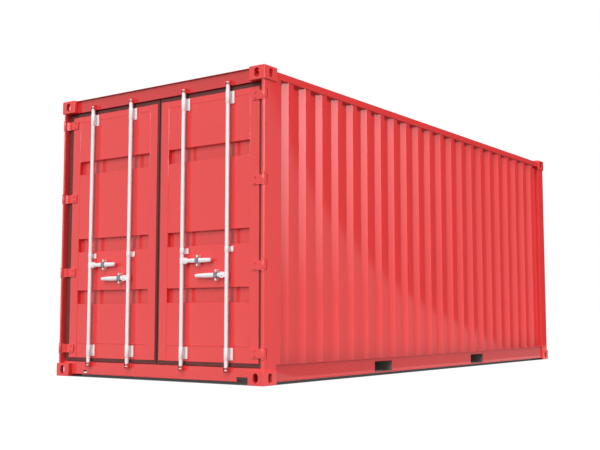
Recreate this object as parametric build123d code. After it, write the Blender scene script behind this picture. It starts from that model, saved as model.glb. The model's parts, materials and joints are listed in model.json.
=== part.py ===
from build123d import *
import os
from math import cos, radians, sin, sqrt

# A twenty foot steel freight container, in millimetres.
# The doors face -Y, the length runs along Y, and the origin is the middle of the footprint.

# Overall box, which the corner castings fill
length = 6058.0
width = 2438.0
height = 2591.0

# Corner castings
casting_length = 178.0
casting_width = 162.0
casting_height = 118.0
casting_outer_wall = 24.0
casting_inner_wall = 12.0
casting_plate = 28.0
casting_corner = 5.0
lock_from_end = 102.5
lock_from_side = 89.5
lock_hole_length = 124.0
lock_hole_width = 63.5
face_hole_height = 80.0
face_hole_width = 50.0

# How far the frame stands behind the castings' outer faces
post_side_inset = 10.0
post_end_inset = 12.0
rail_inset = 8.0
wall_inset = 14.0
door_frame_inset = 50.0

# Posts at the door end: a lip in front, and a deeper box behind it that the door shuts against
post_wall = 6.0
lip_width = 28.0
door_post_width = 76.0
door_post_depth = 224.0
post_corner = 8.0
blind_post_width = 80.0

# Rails
side_rail = 60.0
side_rail_wall = 3.0
side_rail_drop = 29.0
rail_bottom = 24.0
rail_rise = 48.0
rail_sheet = 4.5
rail_top_flange = 50.0
rail_bottom_flange = 40.0
rail_lip = 12.0
rail_lip_height = 8.0

# Header and sill across the door end
beam_depth = 90.0
beam_wall = 5.0
header_drop = 4.0
header_lip_depth = 20.0
header_lip = 4.0
sill_bottom = 22.0
sill_rise = 16.0
stop_depth = 42.0
stop_plate = 6.0
stop_gap_to_leaf = 8.0
sill_notch_width = 150.0
sill_notch_height = 37.0
sill_slot_inset = 172.0
sill_slot_width = 46.0
sill_slot_height = 26.0
sill_slot_rise = 23.0
sill_access = 220.0

# Corrugated sheets
sheet = 2.0
ridge_pitch = 251.5
ridge_crest = 72.0
ridge_slope = 52.0
ridge_depth = 38.0
ridge_margin = 70.0
roof_pitch = 209.0
roof_crest = 91.0
roof_slope = 18.0
roof_depth = 18.0
roof_rail_overlap = 44.0
roof_edge_width = 75.0

# Floor
floor_drop = 18.0
floor_thickness = 28.0
floor_side_gap = 5.0
floor_door_gap = 8.0
floor_panels = 5
floor_joint = 2.0
member_flange = 45.0
member_sheet = 4.0
member_pitch = 300.0

# Fork pockets, through the full width
pocket_width = 317.0
pocket_top_gap = 36.0
pocket_bottom = 34.0
pocket_centres = (-1140.0, 920.0)
pocket_plate = 4.0

# Door leaves
leaf_setback = 10.0
leaf_depth = 50.0
leaf_middle_gap = 48.0
leaf_side_gap = 58.0
leaf_sill_gap = 37.0
leaf_header_gap = 39.0
hinge_stile = 98.0
lock_stile = 89.0
panel_top_margin = 54.0
panel_bottom_margin = 135.0
panel_lap = 16.0
frame_wall = 4.0
panel_setback = 3.0
bands_from_bottom = (556.5, 1037.5)
bands_from_top = (495.5,)
band_height = 125.0
band_depth = 38.0
band_slope = 6.0

# Door gasket
gasket_setback = 8.0
gasket_thickness = 16.0
gasket_clearance = 6.0
gasket_middle_gap = 10.0

# Hinges
hinges_from_bottom = (83.0, 788.0)
hinges_from_top = (778.0, 75.0)
hinge_height = 96.0
hinge_ear = 8.0
hinge_lift = 1.0
pin_side_inset = 23.0
pin_end_inset = 17.0
pin_radius = 9.0
pin_clearance = 0.05
knuckle_wall = 4.0
lug_depth = 50.0
tail_reach = 34.0
lug_back = 4.0
arm_thickness = 10.0
arm_angle = 120.0
strap_thickness = 10.0
strap_reach = 70.0
strap_corner = 12.0

# Lock rods and what holds them
rod_spacing = 496.0
rod_shift = -4.5
rod_standoff = 36.0
rod_radius = 17.0
rod_wall = 3.5
rod_end_inset = 11.0
rod_plug = 6.0
cam_radius = 12.0
cam_height = 34.0
rod_clearance = 0.1
weld_clearance = 0.05
guide_plate_width = 80.0
guide_plate_thickness = 5.0
guides_from_bottom = ((20.0, 121.0), (909.0, 955.0))
guides_from_top = ((111.0, 5.0),)
guide_wall = 2.5
guide_neck = 14.0
keeper_clearance = 7.0
keeper_ear = 6.0
keeper_cover = 14.0
keeper_foot = 8.0
keeper_foot_thickness = 5.0
keeper_height = 42.0
keeper_overhang = 3.0

# Handles and their catches: the first value is for the left rod of a door, the second for the right
handles_from_bottom = (847.0, 719.0)
handle_lengths = (322.0, 343.0)
catch_distances = (170.0, 120.0)
hub_wall = 2.5
hub_height = 50.0
handle_thickness = 12.0
handle_root = 38.0
handle_tip = 28.0
catch_width = 16.0
catch_gap = 6.0
catch_ear = 20.0
catch_ear_reach = 4.0
catch_side_gap = 8.0

# Places worked out from the sizes above
half_width = width / 2
half_length = length / 2
post_face_x = half_width - post_side_inset
post_face_y = half_length - post_end_inset
rail_face_x = half_width - rail_inset
rail_web_x = rail_face_x - rail_lip
rail_inner_x = rail_web_x - rail_sheet
wall_face_x = half_width - wall_inset
wall_face_y = half_length - wall_inset - rail_inset
casting_inner_x = half_width - casting_width
casting_inner_y = half_length - casting_length
post_top = height - casting_height
rail_top = casting_height + rail_rise
side_rail_top = height - side_rail_drop
side_rail_bottom = side_rail_top - side_rail
header_top = height - header_drop
header_bottom = post_top
sill_top = casting_height + sill_rise
beam_front = -half_length + door_frame_inset
beam_back = beam_front + beam_depth
stop_front = beam_front + stop_depth
door_post_inner_x = post_face_x - door_post_width
lip_inner_x = post_face_x - lip_width
blind_post_inner_x = post_face_x - blind_post_width
door_post_back = -post_face_y + door_post_depth
leaf_inner_x = leaf_middle_gap / 2
leaf_outer_x = lip_inner_x - leaf_side_gap
leaf_bottom = sill_top + leaf_sill_gap
leaf_top = header_bottom - leaf_header_gap
leaf_front = beam_front + leaf_setback
leaf_back = leaf_front + leaf_depth
panel_front = leaf_front + panel_setback
leaf_rail_front = panel_front + sheet
panel_bottom = leaf_bottom + panel_bottom_margin
panel_top = leaf_top - panel_top_margin
gasket_front = leaf_front + gasket_setback
gasket_back = gasket_front + gasket_thickness
pin_x = half_width - pin_side_inset
pin_y = -half_length + pin_end_inset
knuckle_radius = pin_radius + knuckle_wall
rod_y = leaf_front - rod_standoff
rod_bore = rod_radius - rod_wall
guide_radius = rod_radius + guide_wall
hub_radius = rod_radius + hub_wall
rod_middle = (leaf_inner_x + leaf_outer_x) / 2 + rod_shift
rod_places = (rod_middle - rod_spacing / 2, rod_middle + rod_spacing / 2)
low_keeper = sill_top + keeper_overhang - keeper_height
high_keeper = header_bottom
rod_bottom = low_keeper + rod_end_inset
rod_top = high_keeper + keeper_height - rod_end_inset
floor_bottom = rail_top - floor_drop
floor_top = floor_bottom + floor_thickness
pocket_top = rail_top - pocket_top_gap
end_rail_back = wall_face_y - ridge_depth - sheet
end_rail_face = half_length - rail_inset - post_side_inset


def block(x0, x1, y0, y1, z0, z1):
    """A box between two corners."""
    middle = ((x0 + x1) / 2, (y0 + y1) / 2, (z0 + z1) / 2)
    return Pos(*middle) * Box(abs(x1 - x0), abs(y1 - y0), abs(z1 - z0))


def upright(points, z0, z1):
    """A plan outline raised from z0 to z1."""
    outline = make_face(Polyline(*points, close=True))
    return extrude(Pos(0, 0, z0) * outline, amount=z1 - z0)


def crossways(points, x0, x1):
    """An outline in Y and Z, drawn out along X."""
    outline = make_face(Polyline(*points, close=True))
    return extrude(Plane.YZ.offset(x0) * outline, amount=x1 - x0)


def lengthways(points, y0, y1):
    """An outline in X and Z, drawn out along Y."""
    outline = make_face(Polyline(*points, close=True))
    return extrude(Plane.XZ.offset(-y0) * outline, amount=y0 - y1)


def round_bar(x, y, radius, z0, z1):
    """An upright cylinder."""
    return Pos(x, y, (z0 + z1) / 2) * Cylinder(radius, z1 - z0)


def other_side(shape):
    """The same shape on the other side of the container."""
    return mirror(shape, about=Plane.YZ)


def other_end(shape):
    """The same shape at the other end of the container."""
    return mirror(shape, about=Plane.XZ)


def heights_on_leaf(from_bottom, from_top):
    """Heights that keep their distance from the leaf's lower or upper edge."""
    return [leaf_bottom + rise for rise in from_bottom] + [leaf_top - drop for drop in from_top]


def corrugated(low, high, pitch, crest, slope, depth):
    """A sheet's line as pairs of place along it and depth behind its crests."""
    ridge = crest + 2 * slope
    ridges = int((high - low - ridge - 2 * ridge_margin) // pitch) + 1
    line = [(low, depth)]
    first = (low + high) / 2 - pitch * (ridges - 1) / 2
    for number in range(ridges):
        middle = first + number * pitch
        line.append((middle - crest / 2 - slope, depth))
        line.append((middle - crest / 2, 0))
        line.append((middle + crest / 2, 0))
        line.append((middle + crest / 2 + slope, depth))
    line.append((high, depth))
    return line


# Corner castings

def oval(long_side, short_side, depth):
    """A cutter with round ends, long along X, deep along Z."""
    return extrude(SlotOverall(long_side, short_side), amount=depth / 2, both=True)


def corner_casting():
    """The casting of the lower corner at the doors' right."""
    body = block(casting_inner_x, half_width, -half_length, -casting_inner_y, 0, casting_height)
    body = fillet(body.edges(), casting_corner)
    hollow = block(
        casting_inner_x + casting_inner_wall,
        half_width - casting_outer_wall,
        -half_length + casting_outer_wall,
        -casting_inner_y - casting_inner_wall,
        casting_plate,
        casting_height - casting_inner_wall,
    )
    x = half_width - casting_width / 2
    y = -half_length + casting_length / 2
    z = casting_height / 2
    lock_x = half_width - lock_from_side
    lock_y = -half_length + lock_from_end
    lock_hole = Pos(lock_x, lock_y, 0) * Rot(0, 0, 90) * oval(
        lock_hole_length, lock_hole_width, 3 * casting_plate
    )
    end_hole = Pos(x, -half_length, z) * Rot(90, 0, 0) * Rot(0, 0, 90) * oval(
        face_hole_height, face_hole_width, 3 * casting_outer_wall
    )
    side_hole = Pos(half_width, y, z) * Rot(0, 90, 0) * oval(
        face_hole_height, face_hole_width, 3 * casting_outer_wall
    )
    return body - hollow - lock_hole - end_hole - side_hole


def four_corners(shape):
    """One shape at all four corners."""
    pair = [shape, other_side(shape)]
    return pair + [other_end(one) for one in pair]


# Posts and hinges

hinge_heights = heights_on_leaf(hinges_from_bottom, hinges_from_top)


def door_post_outline(inward):
    """The door post's plan, moved inward by its wall for the hollow."""
    face = post_face_x - inward
    front = -post_face_y + inward
    back = door_post_back - inward
    corner = post_corner - inward * (2 - sqrt(2))
    return [
        (face, front + corner),
        (face - corner, front),
        (lip_inner_x + inward, front),
        (lip_inner_x + inward, stop_front + inward),
        (door_post_inner_x + inward, stop_front + inward),
        (door_post_inner_x + inward, back),
        (face, back),
    ]


def hinge_pocket(z, half):
    """The space that a hinge takes out of the post's lip."""
    margin = 1.0
    return block(
        lip_inner_x - margin,
        post_face_x + margin,
        -post_face_y - margin,
        -post_face_y + lug_depth,
        z - half,
        z + half,
    )


def door_post():
    """The right post of the door end, with the hinges' pockets."""
    post = upright(door_post_outline(0), casting_height, post_top)
    post -= upright(door_post_outline(post_wall), casting_height, post_top)
    post -= block(0, half_width, -casting_inner_y, 0, 0, rail_top)
    post += block(
        post_face_x - post_wall, post_face_x, -casting_inner_y, door_post_back, post_top, side_rail_bottom
    )
    for z in hinge_heights:
        post -= hinge_pocket(z, hinge_height / 2)
    return post


def hinge_lug(z):
    """Two ears on a back plate, which fill the pocket and hold the pin."""
    half = hinge_height / 2
    front = -post_face_y
    lug = block(lip_inner_x, post_face_x, front, front + lug_depth, z - half, z + half)
    lug += round_bar(pin_x, pin_y, knuckle_radius, z - half, z + half)
    inner = half - hinge_ear
    lug -= block(
        lip_inner_x - lip_width,
        half_width,
        -half_length,
        front + lug_depth - lug_back,
        z - inner,
        z + inner,
    )
    return lug - round_bar(pin_x, pin_y, pin_radius + pin_clearance, z - half, z + half)


def hinge_pin(z):
    """The pin through both ears and the knuckle."""
    return round_bar(pin_x, pin_y, pin_radius, z - hinge_height / 2, z + hinge_height / 2)


def hinge_strap(end_x, low, high):
    """The flat strap on the leaf, with rounded free corners."""
    strap = block(leaf_outer_x - strap_reach, end_x, leaf_front - strap_thickness, leaf_front, low, high)
    free = strap.edges().filter_by(Axis.Y).group_by(Axis.X)[0]
    return fillet(free, strap_corner)


def knuckle_tail(low, high):
    """The knuckle's solid back, flush with the post's side and round about the pin."""
    tail = block(pin_x - knuckle_radius, post_face_x, pin_y, pin_y + tail_reach, low, high)
    return tail & round_bar(pin_x, pin_y, tail_reach, low, high)


def hinge_blade(z):
    """The door's half of a hinge: knuckle with its tail, cranked arm and strap."""
    half = hinge_height / 2 - hinge_ear - hinge_lift
    low = z - half
    high = z + half
    strap_middle = leaf_front - strap_thickness / 2
    reach = (strap_middle - pin_y) / sin(radians(arm_angle))
    end_x = pin_x + reach * cos(radians(arm_angle))
    arm = Pos(pin_x, pin_y, z) * Rot(0, 0, arm_angle) * Pos(reach / 2, 0, 0) * Box(
        reach, arm_thickness, high - low
    )
    bend = round_bar(end_x, strap_middle, strap_thickness / 2, low, high)
    blade = arm + bend + hinge_strap(end_x, low, high) + knuckle_tail(low, high)
    blade += round_bar(pin_x, pin_y, knuckle_radius, low, high)
    return blade - round_bar(pin_x, pin_y, pin_radius + pin_clearance, low, high)


def blind_post():
    """The right post of the blind end, an open tube."""
    inner = post_wall
    tube = block(blind_post_inner_x, post_face_x, casting_inner_y, post_face_y, casting_height, post_top)
    return tube - block(
        blind_post_inner_x + inner,
        post_face_x - inner,
        casting_inner_y + inner,
        post_face_y - inner,
        casting_height,
        post_top,
    )


# Rails, header and sill

def top_side_rail():
    """A square tube between two upper castings."""
    outer = rail_face_x
    inner = rail_face_x - side_rail
    wall = side_rail_wall
    end = casting_inner_y
    tube = block(inner, outer, -end, end, side_rail_bottom, side_rail_top)
    hole = block(inner + wall, outer - wall, -end, end, side_rail_bottom + wall, side_rail_top - wall)
    return tube - hole


def channel_outline(face, top_flange, bottom_flange):
    """A channel that opens inward, with a lip standing out above and below its web."""
    web = face - rail_lip
    inner = web - rail_sheet
    return [
        (face, rail_bottom),
        (face, rail_bottom + rail_lip_height),
        (web, rail_bottom + rail_lip_height),
        (web, rail_top - rail_lip_height),
        (face, rail_top - rail_lip_height),
        (face, rail_top),
        (face - top_flange, rail_top),
        (face - top_flange, rail_top - rail_sheet),
        (inner, rail_top - rail_sheet),
        (inner, rail_bottom + rail_sheet),
        (face - bottom_flange, rail_bottom + rail_sheet),
        (face - bottom_flange, rail_bottom),
    ]


def bottom_side_rail():
    """A channel under a side wall, cut through for the fork pockets."""
    outline = channel_outline(rail_face_x, rail_top_flange, rail_bottom_flange)
    rail = lengthways(outline, -casting_inner_y, casting_inner_y)
    for middle in pocket_centres:
        rail -= block(
            rail_inner_x - rail_sheet,
            half_width,
            middle - pocket_width / 2,
            middle + pocket_width / 2,
            pocket_bottom,
            pocket_top,
        )
    return rail


def door_header():
    """The box beam over the doors, with a rain lip, the doors' stop and a strip of roof."""
    end = casting_inner_x
    wall = beam_wall
    beam = block(-end, end, beam_front, beam_back, header_bottom, header_top)
    beam -= block(-end, end, beam_front + wall, beam_back - wall, header_bottom + wall, header_top - wall)
    stop = block(
        -door_post_inner_x,
        door_post_inner_x,
        stop_front,
        stop_front + stop_plate,
        leaf_top + stop_gap_to_leaf,
        header_bottom,
    )
    lip = block(-end, end, beam_front - header_lip_depth, beam_front, header_top - header_lip, header_top)
    return beam + stop + lip + roof_strip(beam_back, -casting_inner_y)


def roof_strip(y0, y1):
    """A flat plate between two upper castings, level with the troughs of the roof sheet."""
    return block(-casting_inner_x, casting_inner_x, y0, y1, side_rail_top, side_rail_top + sheet)


def sill_top_parts(x0, x1):
    """What stands on the sill from x0 to x1: the ledge that carries the floor, and the doors' stop."""
    ledge = block(x0, x1, stop_front, beam_back, sill_top, floor_bottom)
    stop_top = leaf_bottom - stop_gap_to_leaf
    return ledge + block(x0, x1, stop_front, stop_front + stop_plate, floor_bottom, stop_top)


def door_sill():
    """The box beam under the doors: a notch at its right end, a slot at its left, its back open by both."""
    end = casting_inner_x
    wall = beam_wall
    sill = block(-end, end, beam_front, beam_back, sill_bottom, sill_top) + sill_top_parts(-end, end)
    sill -= block(-end, end, beam_front + wall, beam_back - wall, sill_bottom + wall, sill_top - wall)
    for side in (-1, 1):
        sill -= block(
            side * (end - sill_access),
            side * end,
            beam_back - wall,
            beam_back,
            sill_bottom + wall,
            sill_top - wall,
        )
    notch_top = sill_bottom + sill_notch_height
    sill -= block(end - sill_notch_width, end, beam_front, beam_back, sill_bottom, notch_top)
    slot = oval(sill_slot_width, sill_slot_height, 3 * wall)
    return sill - Pos(sill_slot_inset - end, beam_front, sill_bottom + sill_slot_rise) * Rot(90, 0, 0) * slot


def sill_end():
    """The plate that takes the sill's top over the right casting to the post."""
    plate = block(casting_inner_x, door_post_inner_x, beam_front, beam_back, casting_height, sill_top)
    plate += block(door_post_inner_x, lip_inner_x, beam_front, stop_front, casting_height, sill_top)
    return plate + sill_top_parts(casting_inner_x, door_post_inner_x)


def blind_end_top_rail():
    """The tube over the blind end wall, with a strip of roof."""
    wall = side_rail_wall
    end = casting_inner_x
    front = end_rail_face - side_rail
    tube = block(-end, end, front, end_rail_face, side_rail_bottom, side_rail_top)
    tube -= block(
        -end, end, front + wall, end_rail_face - wall, side_rail_bottom + wall, side_rail_top - wall
    )
    return tube + roof_strip(casting_inner_y, end_rail_face)


def blind_end_sill():
    """The channel under the blind end wall, with a ledge that carries the floor."""
    end = casting_inner_x
    outline = channel_outline(end_rail_face, end_rail_face - end_rail_back, rail_bottom_flange)
    web = end_rail_face - rail_lip
    ledge = block(-end, end, end_rail_face - side_rail, web, floor_bottom - rail_sheet, floor_bottom)
    return crossways(outline, -end, end) + ledge


# Sheets

def side_wall():
    """The right side's corrugated sheet."""
    line = corrugated(
        -casting_inner_y, casting_inner_y, ridge_pitch, ridge_crest, ridge_slope, ridge_depth
    )
    line[0] = (door_post_back, ridge_depth)
    outer = [(wall_face_x - depth, along) for along, depth in line]
    inner = [(x - sheet, y) for x, y in reversed(outer)]
    return upright(outer + inner, rail_top, side_rail_bottom)


def blind_end_wall():
    """The corrugated sheet of the blind end, with flat edges beside the posts."""
    end = casting_inner_x
    line = corrugated(-end, end, ridge_pitch, ridge_crest, ridge_slope, ridge_depth)
    outer = [(along, wall_face_y - depth) for along, depth in line]
    inner = [(x, y - sheet) for x, y in reversed(outer)]
    wall = upright(outer + inner, rail_top, side_rail_bottom)
    flat = wall_face_y - ridge_depth
    for side in (-1, 1):
        wall += block(
            side * end, side * blind_post_inner_x, flat - sheet, flat, casting_height, post_top
        )
    return wall


def roof_panel():
    """The roof sheet: ribs across it, closed at their ends, between flat edges on the side rails."""
    edge = rail_face_x - side_rail + roof_rail_overlap
    reach = edge - roof_edge_width
    end = casting_inner_y
    line = corrugated(-end, end, roof_pitch, roof_crest, roof_slope, roof_depth)
    top = side_rail_top + roof_depth + sheet
    outer = [(along, top - depth) for along, depth in line]
    inner = [(y, z - sheet) for y, z in reversed(outer)]
    roof = crossways(outer + inner, -reach, reach)
    closed = outer + [(end, side_rail_top), (-end, side_rail_top)]
    for side in (-1, 1):
        x0, x1 = sorted((side * reach, side * (reach - sheet)))
        roof += crossways(closed, x0, x1)
        roof += block(side * reach, side * edge, -end, end, side_rail_top, side_rail_top + sheet)
    return roof


# Floor

def floor_boards():
    """Floor panels in a row, with open joints."""
    low = leaf_back + floor_door_gap
    high = end_rail_back - floor_joint
    edge = rail_face_x - rail_top_flange - floor_side_gap
    step = (high - low + floor_joint) / floor_panels
    boards = []
    for number in range(floor_panels):
        start = low + number * step
        boards.append(block(-edge, edge, start, start + step - floor_joint, floor_bottom, floor_top))
    first = boards[0]
    for side in (-1, 1):
        first -= block(
            side * (door_post_inner_x - floor_side_gap),
            side * half_width,
            low,
            door_post_back + floor_side_gap,
            floor_bottom,
            floor_top,
        )
    boards[0] = first
    last = boards[-1]
    for side in (-1, 1):
        last -= block(
            side * (blind_post_inner_x - floor_side_gap),
            side * half_width,
            casting_inner_y - floor_side_gap,
            high,
            floor_bottom,
            floor_top,
        )
    boards[-1] = last
    return boards


def member_places():
    """The near edges of the floor's cross members, with a pair against each fork pocket."""
    half = pocket_width / 2 + pocket_plate
    places = []
    start = beam_back
    for middle in pocket_centres:
        places += even_places(start, middle - half)
        places += [middle - half - member_flange, middle + half]
        start = middle + half
    return places + even_places(start, end_rail_face - side_rail)


def even_places(start, end):
    """Members at an even pitch between two fixed ones."""
    count = round((end - start) / member_pitch)
    step = (end - start) / count
    return [start + number * step - member_flange / 2 for number in range(1, count)]


def cross_member(y):
    """One channel under the floor, from web to web of the side rails."""
    low = rail_bottom + rail_sheet
    high = floor_bottom
    t = member_sheet
    outline = [
        (y, low),
        (y + member_flange, low),
        (y + member_flange, low + t),
        (y + t, low + t),
        (y + t, high - t),
        (y + member_flange, high - t),
        (y + member_flange, high),
        (y, high),
    ]
    return crossways(outline, -rail_inner_x, rail_inner_x)


def fork_pocket(middle):
    """The tube that a lift truck's fork goes through."""
    reach = rail_inner_x
    half = pocket_width / 2
    low = pocket_bottom
    high = pocket_top
    t = pocket_plate
    tube = block(-reach, reach, middle - half - t, middle + half + t, low - t, high + t)
    return tube - block(-reach, reach, middle - half, middle + half, low, high)


# Doors, made for the right side

def door_frame():
    """The leaf's welded ring: uprights open at both ends, and cross tubes set back behind the panel."""
    t = frame_wall
    left = leaf_inner_x + lock_stile
    right = leaf_outer_x - hinge_stile
    low = panel_bottom + panel_lap
    high = panel_top - panel_lap
    ring = block(leaf_inner_x, leaf_outer_x, leaf_front, leaf_back, leaf_bottom, leaf_top)
    ring -= block(left, right, leaf_front, leaf_back, low, high)
    ring -= block(left, right, leaf_front, leaf_rail_front, leaf_bottom, leaf_top)
    y0 = leaf_front + t
    y1 = leaf_back - t
    ring -= block(leaf_inner_x + t, left - t, y0, y1, leaf_bottom, leaf_top)
    ring -= block(right + t, leaf_outer_x - t, y0, y1, leaf_bottom, leaf_top)
    y0 = leaf_rail_front + t
    ring -= block(left - t, right + t, y0, y1, leaf_bottom + t, low - t)
    ring -= block(left - t, right + t, y0, y1, high + t, leaf_top - t)
    return ring


def door_panel():
    """The leaf's sheet, pressed inward in three bands."""
    front = [(panel_front, panel_bottom)]
    for middle in sorted(heights_on_leaf(bands_from_bottom, bands_from_top)):
        z0 = middle - band_height / 2
        z1 = middle + band_height / 2
        front.append((panel_front, z0))
        front.append((panel_front + band_depth, z0 + band_slope))
        front.append((panel_front + band_depth, z1 - band_slope))
        front.append((panel_front, z1))
    front.append((panel_front, panel_top))
    back = [(y + sheet, z) for y, z in reversed(front)]
    return crossways(front + back, leaf_inner_x + lock_stile, leaf_outer_x - hinge_stile)


def door_gasket():
    """The rubber seal round the leaf."""
    outer = block(
        gasket_middle_gap / 2,
        lip_inner_x - gasket_clearance,
        gasket_front,
        gasket_back,
        sill_top + gasket_clearance,
        header_bottom - gasket_clearance,
    )
    return outer - block(leaf_inner_x, leaf_outer_x, gasket_front, gasket_back, leaf_bottom, leaf_top)


def rod_guide(x, low, high):
    """A plate on the leaf with a collar round the rod."""
    back = leaf_rail_front if high < panel_bottom else panel_front
    half = guide_plate_width / 2
    guide = block(x - half, x + half, back - guide_plate_thickness, back, low, high)
    guide += block(x - guide_neck / 2, x + guide_neck / 2, rod_y, back, low, high)
    guide += round_bar(x, rod_y, guide_radius, low, high)
    return guide - round_bar(x, rod_y, rod_radius + rod_clearance, low, high)


def handle_catch(x, z):
    """A cradle on the leaf, open in front, that the handle rests in."""
    half = catch_width / 2
    seat = rod_y + handle_thickness / 2 + catch_gap
    rim = handle_root / 2 + catch_side_gap
    top = rim + catch_ear
    catch = block(x - half, x + half, seat, panel_front, z - top, z + top)
    for side in (-1, 1):
        catch += block(
            x - half, x + half, rod_y - catch_ear_reach, seat, z + side * rim, z + side * top
        )
    return catch


def lock_rod(x):
    """A tube plugged at both ends, with a slimmer cam beyond each plug."""
    low = rod_bottom + cam_height
    high = rod_top - cam_height
    rod = round_bar(x, rod_y, rod_radius, low, high)
    rod -= round_bar(x, rod_y, rod_bore, low + rod_plug, high - rod_plug)
    rod += round_bar(x, rod_y, cam_radius, rod_bottom, low)
    return rod + round_bar(x, rod_y, cam_radius, high, rod_top)


def rod_handle(x, z, reach, side):
    """A tapered handle on a hub round the rod, pointing to one side."""
    tip = x + side * (reach - handle_tip / 2)
    root = handle_root / 2
    end = handle_tip / 2
    outline = [(x, z - root), (tip, z - end), (tip, z + end), (x, z + root)]
    y0 = rod_y - handle_thickness / 2
    y1 = rod_y + handle_thickness / 2
    bar = lengthways(outline, y0, y1)
    bar += Pos(tip, rod_y, z) * Rot(90, 0, 0) * Cylinder(end, handle_thickness)
    low = z - hub_height / 2
    high = z + hub_height / 2
    bar += round_bar(x, rod_y, hub_radius, low, high)
    return bar - round_bar(x, rod_y, rod_radius + weld_clearance, low, high)


def keeper_ear_at(x, side, low):
    """One ear beside a cam, with its foot on the header or the sill."""
    inner = x + side * (cam_radius + keeper_clearance)
    outer = inner + side * keeper_ear
    foot = outer + side * keeper_foot
    high = low + keeper_height
    ear = block(inner, outer, rod_y - keeper_cover, beam_front, low, high)
    return ear + block(inner, foot, beam_front - keeper_foot_thickness, beam_front, low, high)


def keepers(low):
    """The ears of all four rods at one height."""
    places = [side * place for side in (-1, 1) for place in rod_places]
    return [keeper_ear_at(x, side, low) for x in places for side in (-1, 1)]


def handles_of_door(middle_sign):
    """For each rod of a door: place, height and length of its handle, its side and its catch."""
    places = sorted(middle_sign * place for place in rod_places)
    found = []
    for number, x in enumerate(places):
        side = 1 if number == 0 else -1
        z = leaf_bottom + handles_from_bottom[number]
        found.append((x, z, handle_lengths[number], side, catch_distances[number]))
    return found


# The whole container

def build():
    """Every node's solids by name."""
    low_casting = corner_casting()
    high_casting = mirror(low_casting, about=Plane.XY.offset(height / 2))
    post = door_post()
    back_post = blind_post()
    top_rail = top_side_rail()
    bottom_rail = bottom_side_rail()
    wall = side_wall()
    lugs = [hinge_lug(z) for z in hinge_heights]
    pins = [hinge_pin(z) for z in hinge_heights]
    nodes = {
        "bottom_corner_castings": four_corners(low_casting),
        "top_corner_castings": four_corners(high_casting),
        "door_post_right": [post],
        "door_post_left": [other_side(post)],
        "blind_post_right": [back_post],
        "blind_post_left": [other_side(back_post)],
        "top_side_rail_right": [top_rail],
        "top_side_rail_left": [other_side(top_rail)],
        "bottom_side_rail_right": [bottom_rail],
        "bottom_side_rail_left": [other_side(bottom_rail)],
        "door_header": [door_header()],
        "door_sill": [door_sill()],
        "door_sill_ends": [sill_end(), other_side(sill_end())],
        "blind_end_top_rail": [blind_end_top_rail()],
        "blind_end_sill": [blind_end_sill()],
        "side_wall_right": [wall],
        "side_wall_left": [other_side(wall)],
        "blind_end_wall": [blind_end_wall()],
        "roof_panel": [roof_panel()],
        "floor_boards": floor_boards(),
        "floor_cross_members": [cross_member(y) for y in member_places()],
        "fork_pockets": [fork_pocket(middle) for middle in pocket_centres],
        "hinge_lugs": lugs + [other_side(lug) for lug in lugs],
        "hinge_pins": pins + [other_side(pin) for pin in pins],
        "rod_keepers": keepers(low_keeper) + keepers(high_keeper),
    }
    for name, sign in (("right", 1), ("left", -1)):
        nodes.update(door(name, sign))
    return nodes


def door(name, sign):
    """One door's nodes, and its two lock rods'."""
    turn = other_side if sign < 0 else (lambda shape: shape)
    rods = handles_of_door(sign)
    spans = [heights_on_leaf(span, ()) for span in guides_from_bottom]
    spans += [heights_on_leaf((), span) for span in guides_from_top]
    guides = [rod_guide(rod[0], low, high) for rod in rods for low, high in spans]
    catches = [handle_catch(x + side * away, z) for x, z, reach, side, away in rods]
    nodes = {
        f"{name}_door_frame": [turn(door_frame())],
        f"{name}_door_panel": [turn(door_panel())],
        f"{name}_door_gasket": [turn(door_gasket())],
        f"{name}_door_hinge_blades": [turn(hinge_blade(z)) for z in hinge_heights],
        f"{name}_door_rod_guides": guides,
        f"{name}_door_handle_catches": catches,
    }
    for x, z, reach, side, away in rods:
        place = "inner" if abs(x) == min(rod_places) else "outer"
        nodes[f"{name}_{place}_lock_rod"] = [lock_rod(x)]
        nodes[f"{name}_{place}_rod_handle"] = [rod_handle(x, z, reach, side)]
    return nodes


os.makedirs("parts", exist_ok=True)
for node, solids in build().items():
    export_step(Compound(solids), f"parts/{node}.step")
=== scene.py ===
"""The shipping container's looks: materials, softened edges and small detail around the frame's solids."""
import json
import math

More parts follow.
